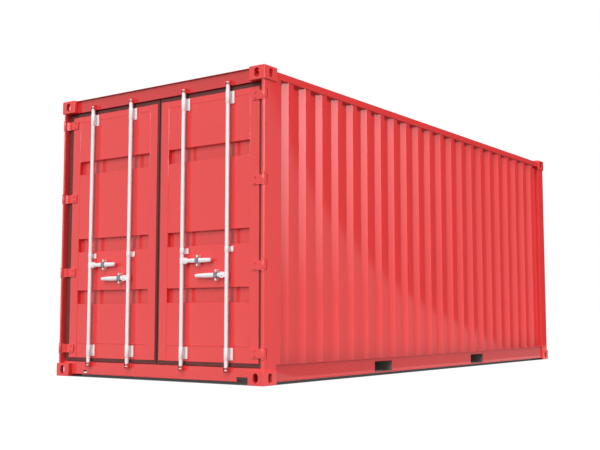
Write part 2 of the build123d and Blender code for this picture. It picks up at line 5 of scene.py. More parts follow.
import bmesh
import bpy
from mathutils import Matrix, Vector

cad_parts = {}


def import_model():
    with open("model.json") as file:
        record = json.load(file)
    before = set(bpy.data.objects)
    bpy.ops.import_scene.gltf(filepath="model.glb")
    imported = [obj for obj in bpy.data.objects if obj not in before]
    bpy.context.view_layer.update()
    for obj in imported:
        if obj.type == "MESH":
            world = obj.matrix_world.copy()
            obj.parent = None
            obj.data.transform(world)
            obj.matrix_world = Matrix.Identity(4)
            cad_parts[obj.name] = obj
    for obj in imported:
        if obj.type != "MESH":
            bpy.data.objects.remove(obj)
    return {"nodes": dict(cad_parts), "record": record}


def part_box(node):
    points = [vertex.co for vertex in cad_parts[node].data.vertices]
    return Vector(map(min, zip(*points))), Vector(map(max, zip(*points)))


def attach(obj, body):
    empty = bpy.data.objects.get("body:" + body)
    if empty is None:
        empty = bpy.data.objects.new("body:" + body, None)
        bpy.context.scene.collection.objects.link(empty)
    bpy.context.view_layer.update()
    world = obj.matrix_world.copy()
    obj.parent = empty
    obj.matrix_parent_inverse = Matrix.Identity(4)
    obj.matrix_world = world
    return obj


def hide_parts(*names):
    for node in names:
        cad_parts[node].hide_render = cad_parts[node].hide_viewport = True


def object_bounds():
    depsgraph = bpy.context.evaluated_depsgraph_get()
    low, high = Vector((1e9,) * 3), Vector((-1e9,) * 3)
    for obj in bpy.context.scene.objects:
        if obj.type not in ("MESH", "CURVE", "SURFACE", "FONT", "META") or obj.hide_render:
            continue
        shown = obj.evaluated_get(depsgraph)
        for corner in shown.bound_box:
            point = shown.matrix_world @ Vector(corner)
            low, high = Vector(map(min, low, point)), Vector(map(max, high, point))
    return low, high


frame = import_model()
cad_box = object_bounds()

# Camera, fitted to the photograph's corners, in metres and degrees, with its lens in millimetres

CAMERA_PLACE = (5.8456, -9.0255, 0.5430)
CAMERA_TURN = 35.4725
CAMERA_RISE = 5.5221
CAMERA_LENS = 57.17
CAMERA_SENSOR = 36.0
CAMERA_REACH = 400.0

# Soft lamps: levels, and the directions that they shine from

AMBIENT = 0.36
KEYS = (
    (1.29, (0.04, -0.94, 0.33)),
    (1.08, (0.17, -0.71, 0.68)),
    (0.52, (0.13, -0.37, 0.92)),
)
SIDE_LEVEL = 2.08
SIDE_FROM = (0.87, 0.10, 0.49)
BACK_LEVEL = 1.15
BACKS_FROM = ((-0.93, 0.33, 0.15), (-0.33, 0.93, 0.15))
LAMP_SOFTNESS = 22.0

# Floor: the light that it gives back, how bright it looks, the faint glow left in its painted shadow under
# the object, and over how far inside the object's outline that painted shadow comes in, in metres

FLOOR_HALF = 120.0
FLOOR_BOUNCE = 0.12
FLOOR_SHADE = 0.10
FLOOR_GLOW = 0.94
PAINTED_SHADOW_GLOW = 0.06
PAINTED_SHADOW_EDGE = 0.03

# Cards beside the camera's right that only gloss can see, in metres. The long wall mirrors the dark card's
# slanted lower edge with the grey card behind it, and the floor cards carry both on below the horizon. The
# softbox is brightest at its upper near corner.

DARK_RADIANCE = 0.0
GREY_RADIANCE = 0.5
CARDS_END = 60.0
CARDS_FOOT = 0.02
DARK_CARD_X = 8.0
DARK_CARD_EDGE = (
    (6.75, 3.97), (8.01, 2.83), (9.95, 1.74), (11.09, 1.25),
    (12.92, 0.70), (14.18, 0.42), (15.44, 0.12), (15.9, 0.02),
)
DARK_CARD_START = 3.2
DARK_CARD_CORNER = 9.0
DARK_CARD_TOP = 30.0
GREY_CARD_X = 8.2
GREY_CARD_START = 4.0
GREY_CARD_TOP = 12.0
FLOOR_CARD = ((1.6, -2.0), (GREY_CARD_X, 3.0), (GREY_CARD_X, CARDS_END), (1.6, CARDS_END))
FLOOR_CARD_HEIGHT = 0.01
DARK_FLOOR_CARD = (
    (3.05, 6.05), (3.47, 6.88), (4.97, 9.82), (7.19, 14.17),
    (DARK_CARD_X, 15.8), (DARK_CARD_X, CARDS_END), (3.05, CARDS_END),
)
DARK_FLOOR_CARD_HEIGHT = 0.016
SOFTBOX_X = 9.0
SOFTBOX_NEAR = -10.0
SOFTBOX_TOP = 4.9
SOFTBOX_RADIANCE = 5.0
SOFTBOX_LEAST = 1.0
SOFTBOX_RISE = (1.0, 3.8)
SOFTBOX_RUN = (0.0, -5.4)

# Places on the doors, in metres, as the solids have them. The first rod of each leaf has its handle towards
# +X. Each guide has its lower and upper end, and how far its face stands before the guides' back.

RODS = ("left_outer", "left_inner", "right_inner", "right_outer")
FIRST_RODS = ("left_outer", "right_inner")
GUIDES = ((0.191, 0.292, 0.005), (1.080, 1.126, 0.007), (2.323, 2.429, 0.007))
HINGE_HEIGHTS = (0.254, 0.959, 1.656, 2.359)
STILE_JOINTS = (0.113, 1.025)
STRAP_X = 1.088
STRAP_FRONT = 0.010
PANEL_BOTTOM = 0.306
PANEL_TOP = 2.380
PANEL_STEP = 0.003
BAND_SPANS = ((0.671, 0.784), (1.152, 1.265), (1.882, 1.995))
BAND_DEPTH = 0.038

# Paints: base colours and roughness, and how they vary over a surface

RED = (0.836, 0.0585, 0.0585)
# A darker copy of the red for the bottom rails and the header: painted shade
SHADED_RED = (0.66, 0.038, 0.038)
# A slightly darker copy of the red for the roof: painted shade on the top that the lamps light most
SHADED_ROOF_RED = (0.80, 0.056, 0.056)
GLOSSY = 0.055
CASTING_ROUGHNESS = 0.20
ROOF_ROUGHNESS = 0.42
PAINT_SPREAD = (0.94, 1.04)
ROUGHNESS_SPREAD = (0.75, 1.35)
DRIFT_SCALE = 1.3
DRIFT_DETAIL = 4.0
FINE_SCALE = 14.0
FINE_DETAIL = 3.0
PEEL_SCALE = 260.0
PEEL_DETAIL = 2.0
PEEL_BUMP = (0.04, 0.001)

# Painted shade: a darker, slightly patchy red along the foot of the walls, and in the doors' pressed bands
# towards their lower ledge

PAINTED_SHADE_COLOUR = (0.22, 0.036, 0.034)
PAINTED_SHADE_SPREAD = (0.8, 1.2)
FOOT_PAINTED_SHADE = 0.48
FOOT_SHADE_FADE = 0.078
BAND_PAINTED_SHADE = 0.34
BAND_SHADE_FALL = 1.4

# Zinc, and the specular level of zinc and of the matt materials

CRYSTAL_SCALE = 160.0
ZINC_ROUGHNESS = (0.40, 0.52)
ZINC_SPECULAR = 0.3
MATT_SPECULAR = 0.2
GRAIN_DETAIL = 5.0
EVEN_GRAIN = (1.0, 1.0, 1.0)
WOOD_GRAIN = (22.0, 1.2, 22.0)

# Sockets of the node that mixes two colours

MIX_SHARE, MIX_FIRST, MIX_SECOND = 0, 6, 7
MIX_RESULT = 2

WHITE = (1, 1, 1, 1)


def opaque(colour):
    """A colour with its fourth value."""
    return tuple(colour) + (1,)


def camera():
    """The photograph's viewpoint."""
    data = bpy.data.cameras.new("camera")
    data.lens = CAMERA_LENS
    data.sensor_width = CAMERA_SENSOR
    data.clip_end = CAMERA_REACH
    eye = bpy.data.objects.new("camera", data)
    eye.location = CAMERA_PLACE
    eye.rotation_euler = (math.radians(90 + CAMERA_RISE), 0, math.radians(CAMERA_TURN))
    bpy.context.scene.collection.objects.link(eye)
    bpy.context.scene.camera = eye


class Nodes:
    """A small helper that builds a node tree."""

    def __init__(self, owner):
        owner.use_nodes = True
        self.tree = owner.node_tree
        self.tree.nodes.clear()

    def add(self, kind, **values):
        """A node, with values for its settings and sockets."""
        node = self.tree.nodes.new(kind)
        for name, value in values.items():
            if hasattr(node, name) and name not in node.inputs:
                setattr(node, name, value)
            else:
                node.inputs[name].default_value = value
        return node

    def link(self, source, target):
        """Joins an output socket to an input socket."""
        self.tree.links.new(source, target)

    def fill(self, socket, value):
        """Links another socket to this one, or sets a plain value on it."""
        if isinstance(value, bpy.types.NodeSocket):
            self.link(value, socket)
        else:
            socket.default_value = value

    def place(self):
        """Coordinates on the piece itself, which move with it."""
        return self.add("ShaderNodeTexCoord").outputs["Object"]

    def parts(self, place):
        """A place's X, Y and Z."""
        node = self.add("ShaderNodeSeparateXYZ")
        self.link(place, node.inputs[0])
        return node.outputs

    def math(self, operation, *values):
        """The result of one piece of arithmetic."""
        node = self.add("ShaderNodeMath", operation=operation)
        for number, value in enumerate(values):
            self.fill(node.inputs[number], value)
        return node.outputs[0]

    def spread(self, value, to, source=(0.0, 1.0)):
        """A value, spread from the source's ends to others and held between them."""
        node = self.add("ShaderNodeMapRange")
        self.link(value, node.inputs["Value"])
        node.inputs["From Min"].default_value, node.inputs["From Max"].default_value = source
        node.inputs["To Min"].default_value, node.inputs["To Max"].default_value = to
        return node.outputs[0]

    def noise(self, place, scale, detail):
        """Soft random patches from 0 to 1."""
        node = self.add("ShaderNodeTexNoise", Scale=scale, Detail=detail)
        self.link(place, node.inputs["Vector"])
        return node.outputs["Fac"]

    def mix(self, share, first, second):
        """A colour between two, by share."""
        node = self.add("ShaderNodeMix", data_type="RGBA")
        self.link(share, node.inputs[MIX_SHARE])
        self.fill(node.inputs[MIX_FIRST], first)
        self.fill(node.inputs[MIX_SECOND], second)
        return node.outputs[MIX_RESULT]

    def bump(self, height, strength, distance):
        """A normal for fine relief."""
        node = self.add("ShaderNodeBump", Strength=strength, Distance=distance)
        self.link(height, node.inputs["Height"])
        return node.outputs[0]

    def end(self, shader, kind="ShaderNodeOutputMaterial"):
        """Shows a shader on the surface."""
        out = self.add(kind)
        self.link(shader.outputs[0], out.inputs["Surface"])


# Studio

def world():
    """A white surround for the camera, gloss and clear materials, which lights the object more gently."""
    surround = bpy.data.worlds.new("studio")
    bpy.context.scene.world = surround
    n = Nodes(surround)
    path = n.add("ShaderNodeLightPath").outputs
    seen = n.math("MAXIMUM", path["Is Camera Ray"], path["Is Glossy Ray"])
    clear = n.math("MAXIMUM", seen, path["Is Transmission Ray"])
    back = n.add("ShaderNodeBackground", Color=WHITE)
    n.link(n.spread(clear, (AMBIENT, 1.0)), back.inputs["Strength"])
    n.end(back, "ShaderNodeOutputWorld")


def board(name, corners):
    """A flat piece of the studio with an empty node tree."""
    mesh = bpy.data.meshes.new(name)
    mesh.from_pydata(corners, [], [tuple(range(len(corners)))])
    piece = bpy.data.objects.new(name, mesh)
    bpy.context.scene.collection.objects.link(piece)
    mat = bpy.data.materials.new(name)
    mesh.materials.append(mat)
    return piece, Nodes(mat)


def floor():
    """A white floor whose glow gives way, under the object's footprint, to a painted shadow with a faint
    glow left in it.
    """
    size = FLOOR_HALF
    plane, n = board("floor", [(-size, -size, 0), (size, -size, 0), (size, size, 0), (-size, size, 0)])
    parts = n.parts(n.place())
    outside_painted_shadow = []
    # Painted shadow: the glow falls to a faint one inside the object's footprint
    for axis, half in (("X", cad_box[1][0]), ("Y", cad_box[1][1])):
        away = n.math("ABSOLUTE", parts[axis])
        outside_painted_shadow.append(n.spread(away, (0.0, 1.0), (half - PAINTED_SHADOW_EDGE, half)))
    strength = n.spread(n.math("MAXIMUM", *outside_painted_shadow), (PAINTED_SHADOW_GLOW, FLOOR_GLOW))
    bounce = n.add("ShaderNodeBsdfDiffuse", Color=opaque([FLOOR_BOUNCE] * 3))
    shade = n.add("ShaderNodeBsdfDiffuse", Color=opaque([FLOOR_SHADE] * 3))
    glow = n.add("ShaderNodeEmission", Color=WHITE)
    n.link(strength, glow.inputs["Strength"])
    shown = n.add("ShaderNodeAddShader")
    n.link(shade.outputs[0], shown.inputs[0])
    n.link(glow.outputs[0], shown.inputs[1])
    path = n.add("ShaderNodeLightPath").outputs
    seen = n.math("MAXIMUM", path["Is Camera Ray"], path["Is Glossy Ray"])
    mix = n.add("ShaderNodeMixShader")
    n.link(seen, mix.inputs[0])
    n.link(bounce.outputs[0], mix.inputs[1])
    n.link(shown.outputs[0], mix.inputs[2])
    n.end(mix)


def sun(name, level, source, glare=True):
    """A soft lamp, far away, that shines from a direction. Without glare, gloss doesn't mirror it."""
    data = bpy.data.lights.new(name, "SUN")
    data.energy = level
    data.angle = math.radians(LAMP_SOFTNESS)
    lamp = bpy.data.objects.new(name, data)
    lamp.rotation_euler = Vector(source).to_track_quat("Z", "Y").to_euler()
    lamp.visible_glossy = glare
    bpy.context.scene.collection.objects.link(lamp)


def card(name, corners, radiance, fades=None):
    """A studio card that shows in gloss alone. Fades give the dim and the bright place along each axis."""
    piece, n = board(name, corners)
    glow = n.add("ShaderNodeEmission", Color=WHITE, Strength=radiance)
    if fades:
        parts = n.parts(n.place())
        shares = [n.spread(parts[axis], (0.0, 1.0), ends) for axis, ends in fades.items()]
        both = n.math("MULTIPLY", *shares)
        n.link(n.spread(both, (SOFTBOX_LEAST, radiance)), glow.inputs["Strength"])
    n.end(glow)
    piece.visible_camera = False
    piece.visible_diffuse = False
    piece.visible_transmission = False
    piece.visible_volume_scatter = False
    piece.visible_shadow = False


def upright(x, run, rise):
    """The corners of an oblong card that stands across X."""
    return [(x, run[0], rise[0]), (x, run[1], rise[0]), (x, run[1], rise[1]), (x, run[0], rise[1])]


def studio():
    """Keys for the doors, a lamp for the long wall, low ones behind, and the cards that gloss mirrors."""
    for number, (level, source) in enumerate(KEYS, 1):
        sun(f"key_{number}", level, source)
    sun("side", SIDE_LEVEL, SIDE_FROM)
    for number, source in enumerate(BACKS_FROM, 1):
        sun(f"back_{number}", BACK_LEVEL, source, glare=False)
    outline = [*DARK_CARD_EDGE, (CARDS_END, CARDS_FOOT), (CARDS_END, DARK_CARD_TOP)]
    outline += [(DARK_CARD_START, DARK_CARD_TOP), (DARK_CARD_START, DARK_CARD_CORNER)]
    card("dark_card", [(DARK_CARD_X, y, z) for y, z in outline], DARK_RADIANCE)
    grey = upright(GREY_CARD_X, (GREY_CARD_START, CARDS_END), (CARDS_FOOT, GREY_CARD_TOP))
    card("grey_card", grey, GREY_RADIANCE)
    card("floor_card", [(x, y, FLOOR_CARD_HEIGHT) for x, y in FLOOR_CARD], GREY_RADIANCE)
    card("dark_floor_card", [(x, y, DARK_FLOOR_CARD_HEIGHT) for x, y in DARK_FLOOR_CARD], DARK_RADIANCE)
    corners = upright(SOFTBOX_X, (SOFTBOX_NEAR, SOFTBOX_RUN[0]), (SOFTBOX_RISE[0], SOFTBOX_TOP))
    card("softbox", corners, SOFTBOX_RADIANCE, {"Z": SOFTBOX_RISE, "Y": SOFTBOX_RUN})


# Materials

def foot_painted_shade(n, parts):
    """Painted shade along the walls' foot: thickest where the walls stand on their rails, and thinner with
    each step up.
    """
    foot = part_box("bottom_side_rail_right")[1][2]
    rise = n.math("MULTIPLY_ADD", parts["Z"], -1 / FOOT_SHADE_FADE, foot / FOOT_SHADE_FADE)
    return n.math("MULTIPLY", n.math("EXPONENT", rise), FOOT_PAINTED_SHADE)


def band_painted_shade(n, parts):
    """Painted shade in the bands: thickest on the lower ledge of each band, none at its top, and none on the
    panel's face.
    """
    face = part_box("right_door_panel")[0][1]
    deep = n.spread(parts["Y"], (0.0, BAND_PAINTED_SHADE), (face, face + BAND_DEPTH))
    total = 0.0
    for low, high in BAND_SPANS:
        above = n.math("GREATER_THAN", parts["Z"], low - BAND_DEPTH)
        fall = n.spread(parts["Z"], (0.0, 1.0), (high, low))
        inside = n.math("MULTIPLY", above, n.math("POWER", fall, BAND_SHADE_FALL))
        total = n.math("ADD", total, inside)
    return n.math("MULTIPLY", total, deep)


def paint(name, colour, roughness, painted_shade=None):
    """Sprayed enamel: an even colour with a little drift, fine orange peel and a smooth gloss.

    The optional function says where a darker, slightly patchy painted shade lies."""
    mat = bpy.data.materials.new(name)
    n = Nodes(mat)
    place = n.place()
    dark, light = (opaque(value * share for value in colour) for share in PAINT_SPREAD)
    tone = n.mix(n.noise(place, DRIFT_SCALE, DRIFT_DETAIL), dark, light)
    fine = n.noise(place, FINE_SCALE, FINE_DETAIL)
    # Painted shade: a darker red mixed in where the function puts it, a little patchy
    if painted_shade:
        share = n.math("MULTIPLY", painted_shade(n, n.parts(place)), n.spread(fine, PAINTED_SHADE_SPREAD))
        tone = n.mix(share, tone, opaque(PAINTED_SHADE_COLOUR))
    shader = n.add("ShaderNodeBsdfPrincipled")
    n.link(tone, shader.inputs["Base Color"])
    rough = n.spread(fine, [roughness * share for share in ROUGHNESS_SPREAD])
    n.link(rough, shader.inputs["Roughness"])
    n.link(n.bump(n.noise(place, PEEL_SCALE, PEEL_DETAIL), *PEEL_BUMP), shader.inputs["Normal"])
    n.end(shader)
    return mat


def galvanised(name, dark, light, metallic):
    """Zinc on steel: grey with faint crystal patches."""
    mat = bpy.data.materials.new(name)
    n = Nodes(mat)
    crystal = n.add("ShaderNodeTexVoronoi", Scale=CRYSTAL_SCALE)
    n.link(n.place(), crystal.inputs["Vector"])
    shader = n.add("ShaderNodeBsdfPrincipled", Metallic=metallic)
    shader.inputs["Specular IOR Level"].default_value = ZINC_SPECULAR
    n.link(n.mix(crystal.outputs["Color"], opaque(dark), opaque(light)), shader.inputs["Base Color"])
    n.link(n.spread(crystal.outputs["Distance"], ZINC_ROUGHNESS), shader.inputs["Roughness"])
    n.end(shader)
    return mat


def grained(name, dark, light, roughness, scale, stretch, bump):
    """A matt material with an even or drawn out grain, for rubber, wood and coating."""
    mat = bpy.data.materials.new(name)
    n = Nodes(mat)
    drawn = n.add("ShaderNodeMapping", Scale=stretch)
    n.link(n.place(), drawn.inputs["Vector"])
    grain = n.noise(drawn.outputs[0], scale, GRAIN_DETAIL)
    shader = n.add("ShaderNodeBsdfPrincipled", Roughness=roughness)
    shader.inputs["Specular IOR Level"].default_value = MATT_SPECULAR
    n.link(n.mix(grain, opaque(dark), opaque(light)), shader.inputs["Base Color"])
    n.link(n.bump(grain, *bump), shader.inputs["Normal"])
    n.end(shader)
    return mat


# What each material is made with. Paints have their colour, roughness and painted shade, zinc its two tones
# and how metallic it is, and the rest their two tones, roughness, grain's scale and stretch, and bump.

LOOKS = {
    "red_paint": (paint, RED, GLOSSY),
    # The walls' paint carries painted shade along their foot
    "wall_paint": (paint, RED, GLOSSY, foot_painted_shade),
    # The door panels' paint carries painted shade in their pressed bands
    "door_paint": (paint, RED, GLOSSY, band_painted_shade),
    # The rails' and header's paint is a darker copy of the red: painted shade
    "rail_paint": (paint, SHADED_RED, GLOSSY),
    # The roof's paint is a slightly darker copy of the red, painted shade; its rougher gloss is the paint's
    # own
    "roof_paint": (paint, SHADED_ROOF_RED, ROOF_ROUGHNESS),
    "casting_paint": (paint, RED, CASTING_ROUGHNESS),
    # The zinc's pinkish tint is partly its own tone and partly a painted reflection of the red paint around
    # it
    "galvanised_steel": (galvanised, (0.845, 0.795, 0.81), (0.905, 0.855, 0.87), 0.10),
    "dark_zinc": (galvanised, (0.17, 0.20, 0.23), (0.24, 0.27, 0.31), 0.3),
    "gasket_rubber": (
        grained, (0.118, 0.037, 0.035), (0.158, 0.054, 0.050), 0.7, 90.0, EVEN_GRAIN, (0.2, 0.001),
    ),
    "underside_coating": (
        grained, (0.260, 0.225, 0.210), (0.320, 0.280, 0.262), 0.65, 30.0, EVEN_GRAIN, (0.3, 0.001),
    ),
    "floor_wood": (
        grained, (0.20, 0.11, 0.06), (0.42, 0.26, 0.15), 0.55, 1.0, WOOD_GRAIN, (0.25, 0.002),
    ),
}

# Nodes that look a little different from the rest of their slot: the rails, header and roof in darker copies
# of the red, painted shade, and the walls' foot and the doors' pressed bands with painted shade

OWN_LOOKS = {
    "bottom_side_rail_right": "rail_paint", "bottom_side_rail_left": "rail_paint",
    "door_header": "rail_paint", "roof_panel": "roof_paint",
    "side_wall_right": "wall_paint", "side_wall_left": "wall_paint", "blind_end_wall": "wall_paint",
    "left_door_panel": "door_paint", "right_door_panel": "door_paint",
}

# Solids' edges, softened without moving them: a part of the node's name, and a width in metres

BEVELS = {
    "door_post": 0.0025, "blind_post": 0.0025, "side_rail": 0.0012, "door_header": 0.002, "door_sill": 0.002,
    "blind_end_top_rail": 0.0012, "blind_end_sill": 0.0015, "door_frame": 0.0018, "hinge_lugs": 0.0015,
    "hinge_blades": 0.002, "rod_guides": 0.0015, "handle_catches": 0.002, "rod_keepers": 0.001,
    "floor_boards": 0.001,
}
BEVEL_SEGMENTS = 2
BEVEL_ANGLE = 35
WELD_DISTANCE = 0.00002


def dress_nodes(made):
    """Every CAD node gets its slot's material or its own look, and most get softened edges."""
    slots = {part["node"]: part["material_slot"] for part in frame["record"]["subparts"]}
    for name, node in frame["nodes"].items():
        node.data.materials.clear()
        node.data.materials.append(made[OWN_LOOKS.get(name, slots[name])])
        width = next((width for key, width in BEVELS.items() if key in name), None)
        if width:
            weld = node.modifiers.new("weld", "WELD")
            weld.merge_threshold = WELD_DISTANCE
            bevel = node.modifiers.new("bevel", "BEVEL")
            bevel.width = width
            bevel.segments = BEVEL_SEGMENTS
            bevel.limit_method = "ANGLE"
            bevel.angle_limit = math.radians(BEVEL_ANGLE)
            bevel.harden_normals = True


# Mesh helpers

BEAD_SIDES = 8
MITRE_LEAST = 0.5
PARALLEL = 0.1
CUT_SHARE = 0.2


def new_piece(name, bm, body, slot, made, look=None, crisp=None):
    """A mesh piece that moves with a body, with its slot's material or another.

    With crisp, its faces are smooth but for edges that are sharper than so many degrees."""
    mesh = bpy.data.meshes.new(name)
    bmesh.ops.recalc_face_normals(bm, faces=bm.faces)
    bm.to_mesh(mesh)
    bm.free()
    piece = bpy.data.objects.new(name, mesh)
    bpy.context.scene.collection.objects.link(piece)
    mesh.materials.append(made[look or slot])
    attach(piece, body)
    if crisp:
        mesh.polygons.foreach_set("use_smooth", [True] * len(mesh.polygons))
        mesh.set_sharp_from_angle(angle=math.radians(crisp))
    return piece


def lathe(bm, profile, place, axis, sides):
    """Turns (radius, height) pairs about an axis through a place. Radii of nothing close the ends."""
    turn = Vector(axis).to_track_quat("Z", "Y").to_matrix()
    rings = []
    for radius, height in profile:
        if radius == 0:
            rings.append([bm.verts.new(Vector(place) + turn @ Vector((0, 0, height)))])
            continue
        ring = []
        for number in range(sides):
            angle = 2 * math.pi * number / sides
            spot = Vector((radius * math.cos(angle), radius * math.sin(angle), height))
            ring.append(bm.verts.new(Vector(place) + turn @ spot))
        rings.append(ring)
    for low, high in zip(rings, rings[1:]):
        for number in range(sides):
            after = (number + 1) % sides
            if len(low) == 1:
                bm.faces.new((low[0], high[number], high[after]))
            elif len(high) == 1:
                bm.faces.new((low[number], low[after], high[0]))
            else:
                bm.faces.new((low[number], low[after], high[after], high[number]))


def turned(bm, shape, radius, place, axis, sides):
    """Lathes a shape whose radii are shares of one radius."""
    lathe(bm, [(radius * share, height) for share, height in shape], place, axis, sides)


def bead(bm, points, radius, closed=False):
    """A round weld bead or lip drawn along points."""
    count = len(points)
    spots = [Vector(point) for point in points]
    rings = []
    for number, spot in enumerate(spots):
        before = spots[number - 1] if closed or number > 0 else spot
        after = spots[(number + 1) % count] if closed or number < count - 1 else spot
        into = (spot - before).normalized() if spot != before else (after - spot).normalized()
        out = (after - spot).normalized() if spot != after else into
        along = (into + out).normalized()
        width = radius / max(along.dot(out), MITRE_LEAST)
        side = along.cross(Vector((0, 1, 0)))
        if side.length < PARALLEL:
            side = along.cross(Vector((0, 0, 1)))
        side.normalize()
        up = along.cross(side).normalized()
        ring = []
        for step in range(BEAD_SIDES):
            angle = 2 * math.pi * step / BEAD_SIDES
            offset = side * width * math.cos(angle) + up * radius * math.sin(angle)
            ring.append(bm.verts.new(spot + offset))
        rings.append(ring)
    pairs = list(zip(rings, rings[1:])) + ([(rings[-1], rings[0])] if closed else [])
    for low, high in pairs:
        for step in range(BEAD_SIDES):
            after = (step + 1) % BEAD_SIDES
            bm.faces.new((low[step], low[after], high[after], high[step]))
    if not closed:
        bm.faces.new(tuple(reversed(rings[0])))
        bm.faces.new(tuple(rings[-1]))


def prism(bm, outline, y, depths):
    """An outline in X and Z, drawn along Y through depths that each have their own scale in Z."""
    middle_z = sum(z for _, z in outline) / len(outline)
    rings = []
    for depth, scale in depths:
        rings.append([bm.verts.new((x, y + depth, middle_z + (z - middle_z) * scale)) for x, z in outline])
    count = len(outline)
    for low, high in zip(rings, rings[1:]):
        for number in range(count):
            after = (number + 1) % count
            bm.faces.new((low[number], low[after], high[after], high[number]))
    bm.faces.new(tuple(reversed(rings[0])))
    bm.faces.new(tuple(rings[-1]))


def cut_box(x, z, half, height):
    """An upright oblong in X and Z with its corners cut."""
    cut = min(half, height) * CUT_SHARE
    right, left, top, bottom = x + half, x - half, z + height, z - height
    return [
        (left, bottom + cut), (left + cut, bottom), (right - cut, bottom), (right, bottom + cut),
        (right, top - cut), (right - cut, top), (left + cut, top), (left, top - cut),
    ]


def rod_line(rod):
    """A rod's place in X and Y, and the heights of its ends."""
    low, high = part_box(f"{rod}_lock_rod")
    return (low[0] + high[0]) / 2, (low[1] + high[1]) / 2, (low[2], high[2])


# Handles, in metres. The two kinds have the pivot's and the band's distance from the rod, and the tip's
# height. The bar's heights come at distances past the pivot, and then at distances before the tip. Depths
# run along Y from the rod's middle, each with a scale.

FIRST_HANDLE = (0.043, 0.170, 0.030)
SECOND_HANDLE = (0.050, 0.118, 0.026)
SLEEVE = (
    (0.0172, -0.025), (0.0188, -0.025), (0.0194, -0.0244), (0.0194, 0.0244),
    (0.0188, 0.025), (0.0172, 0.025), (0.0172, -0.025),
)
SLEEVE_SIDES = 32
YOKE_START = 0.016
YOKE_PAST_PIVOT = 0.006
YOKE_HALF = 0.022
YOKE_DEPTHS = ((-0.009, 0.9), (-0.007, 1.0), (0.007, 1.0), (0.009, 0.9))
PIVOT_DISC = (
    (0, -0.010), (0.024, -0.010), (0.027, -0.007), (0.027, 0.009), (0.025, 0.011),
    (0.012, 0.011), (0.012, 0.014), (0.010, 0.016), (0, 0.016),
)
PIVOT_SIDES = 36
BAR_NECK = ((0.0, 0.033), (0.045, 0.031), (0.075, 0.036))
BAR_RIDGE = (0.120, 0.038)
BAR_TIP = ((0.040, 0.004), (0.005, 0.0), (0.0, -0.005))
BAR_DEPTHS = ((-0.0085, 0.15), (-0.0045, 0.92), (-0.003, 1.0), (0.005, 1.0), (0.006, 0.9))
BAND_HALF = 0.014
BAND_HEIGHT = 0.0215
BAND_DEPTHS = ((-0.011, 0.9), (-0.0095, 1.0), (0.0065, 1.0), (0.0075, 0.92))
CLIP_HALF = 0.0015
CLIP_HEIGHT = 0.0205
CLIP_DEPTHS = ((-0.0105, 0.95), (-0.0095, 1.0), (0.0065, 1.0), (0.007, 0.95))
CLIP_STEP = 2.5


def handle(rod, made):
    """A handle with its sleeve, yoke, pivot disc, necked bar with a ridge, and dark band."""
    x, y, _ = rod_line(rod)
    bar_low, bar_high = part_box(f"{rod}_rod_handle")
    z = (bar_low[2] + bar_high[2]) / 2
    first = rod in FIRST_RODS
    side = 1 if first else -1
    tip = abs((bar_high[0] if first else bar_low[0]) - x)
    pivot, band, tip_height = FIRST_HANDLE if first else SECOND_HANDLE
    bm = bmesh.new()
    lathe(bm, SLEEVE, (x, y, z), (0, 0, 1), SLEEVE_SIDES)
    start, end = x + side * YOKE_START, x + side * (pivot + YOKE_PAST_PIVOT)
    bottom, top = z - YOKE_HALF, z + YOKE_HALF
    prism(bm, [(start, bottom), (end, bottom), (end, top), (start, top)], y, YOKE_DEPTHS)
    lathe(bm, PIVOT_DISC, (x + side * pivot, y, z), (0, -1, 0), PIVOT_SIDES)
    steps = [(pivot + away, height) for away, height in BAR_NECK]
    steps.append((tip - BAR_RIDGE[0], BAR_RIDGE[1]))
    steps += [(tip - away, tip_height + more) for away, more in BAR_TIP]
    upper = [(x + side * away, z + height / 2) for away, height in steps]
    lower = [(x + side * away, z - height / 2) for away, height in reversed(steps)]
    prism(bm, upper + lower, y, BAR_DEPTHS)
    piece = new_piece(f"{rod}_handle", bm, f"{rod}_rod", "galvanised_steel", made, crisp=32)
    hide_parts(f"{rod}_rod_handle")
    bm = bmesh.new()
    middle = x + side * band
    prism(bm, cut_box(middle, z, BAND_HALF, BAND_HEIGHT), y, BAND_DEPTHS)
    for way in (-1, 1):
        clip = cut_box(middle + way * (BAND_HALF + CLIP_STEP * CLIP_HALF), z, CLIP_HALF, CLIP_HEIGHT)
        prism(bm, clip, y, CLIP_DEPTHS)
    new_piece(f"{rod}_handle_band", bm, f"{rod}_rod", "galvanised_steel", made, look="dark_zinc")


# The rods' ends: a disc at the tip and one at the shoulder, with a dark neck between them

DISC_RADIUS = 0.0165
DISC_HEIGHT = 0.0085
DISC_EDGE = 0.001
NECK_RADIUS = 0.0126
SHOULDER = 0.034
END_SIDES = 28


def rod_ends(rod, made):
    """The discs and necks at both ends of a rod."""
    x, y, ends = rod_line(rod)
    discs = bmesh.new()
    necks = bmesh.new()
    rounded = DISC_RADIUS - DISC_EDGE
    disc = [
        (0, 0), (rounded, 0), (DISC_RADIUS, DISC_EDGE), (DISC_RADIUS, DISC_HEIGHT - DISC_EDGE),
        (rounded, DISC_HEIGHT), (0, DISC_HEIGHT),
    ]
    start, end = DISC_HEIGHT - DISC_EDGE, SHOULDER - DISC_HEIGHT + DISC_EDGE
    neck = [(0, start), (NECK_RADIUS, start), (NECK_RADIUS, end), (0, end)]
    for z, way in zip(ends, (1, -1)):
        lathe(discs, disc, (x, y, z), (0, 0, way), END_SIDES)
        lathe(discs, disc, (x, y, z + way * (SHOULDER - DISC_HEIGHT)), (0, 0, way), END_SIDES)
        lathe(necks, neck, (x, y, z), (0, 0, way), END_SIDES)
    new_piece(f"{rod}_rod_discs", discs, f"{rod}_rod", "galvanised_steel", made, crisp=35)
    new_piece(f"{rod}_rod_necks", necks, f"{rod}_rod", "galvanised_steel", made, look="dark_zinc", crisp=35)


# Fittings on the leaves and the frame, in metres. Rivets, washers and bolt heads are shares of a radius, and
# heights. They are seated a little in their surface.

